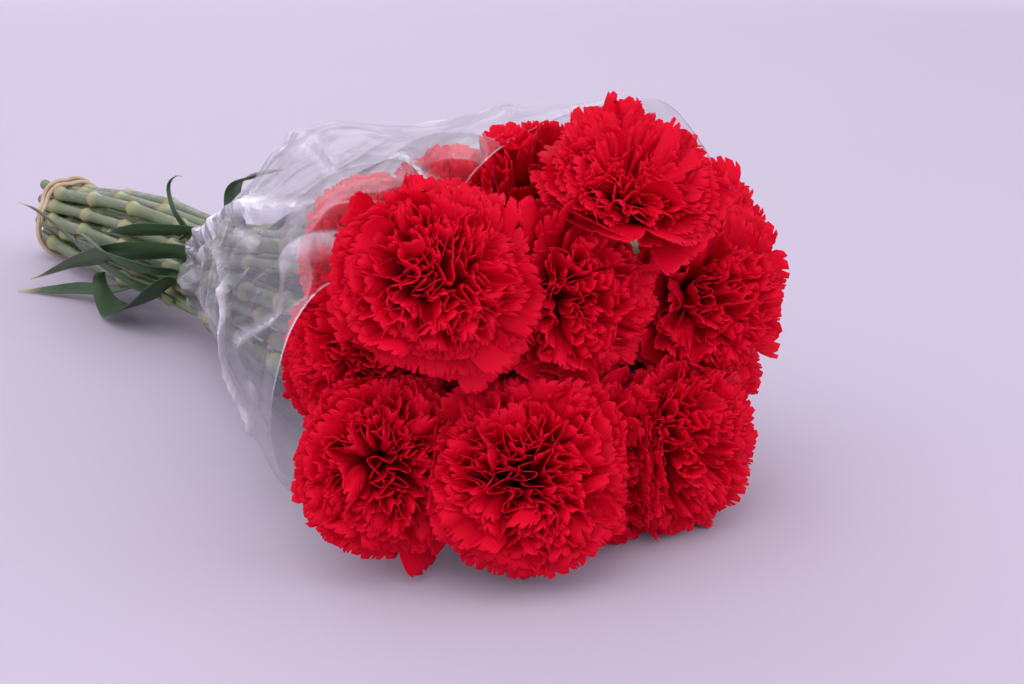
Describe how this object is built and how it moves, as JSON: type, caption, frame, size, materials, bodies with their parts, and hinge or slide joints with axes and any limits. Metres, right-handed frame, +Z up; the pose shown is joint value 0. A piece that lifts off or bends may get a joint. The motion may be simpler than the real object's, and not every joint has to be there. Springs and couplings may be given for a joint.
{
  "type": "bunch of carnations",
  "caption": "Bunch of cut red carnations with grey-green stems, narrow leaves, a rubber band and a clear film sleeve, lying on its side.",
  "frame": {"origin": "middle of the footprint, on the table that the bunch lies on", "axes": "+Y along the stems towards their cut ends, the flowers at -Y, +Z up from the table"},
  "size_m": [0.246, 0.5904, 0.1738],
  "materials": {
    "petals": "soft matt petals, crimson",
    "stem": "waxy grey-green",
    "leaves": "waxy blue-green",
    "film": "clear crinkled film",
    "band": "matt tan rubber"
  },
  "bodies": {
    "root": {"stem_01": "stem", "stem_02": "stem", "stem_03": "stem", "stem_04": "stem", "stem_05": "stem", "stem_06": "stem", "stem_07": "stem", "stem_08": "stem", "stem_09": "stem", "stem_10": "stem", "stem_11": "stem", "stem_12": "stem", "stem_13": "stem", "stem_14": "stem", "stem_15": "stem", "stem_16": "stem", "stem_17": "stem", "stem_18": "stem", "stem_19": "stem", "stem_20": "stem", "bloom_01": "petals", "bloom_02": "petals", "bloom_03": "petals", "bloom_04": "petals", "bloom_05": "petals", "bloom_06": "petals", "bloom_07": "petals", "bloom_08": "petals", "bloom_09": "petals", "bloom_10": "petals", "bloom_11": "petals", "bloom_12": "petals", "bloom_13": "petals", "bloom_14": "petals", "bloom_15": "petals", "bloom_16": "petals", "bloom_17": "petals", "bloom_18": "petals", "bloom_19": "petals", "bloom_20": "petals", "rubber_band": "band", "film_sleeve": "film", "leaf_01": "leaves", "leaf_02": "leaves", "leaf_03": "leaves", "leaf_04": "leaves", "leaf_05": "leaves", "leaf_06": "leaves", "leaf_07": "leaves", "leaf_08": "leaves", "leaf_09": "leaves", "leaf_10": "leaves", "leaf_11": "leaves", "leaf_12": "leaves", "leaf_13": "leaves", "leaf_14": "leaves"}
  },
  "joints": []
}
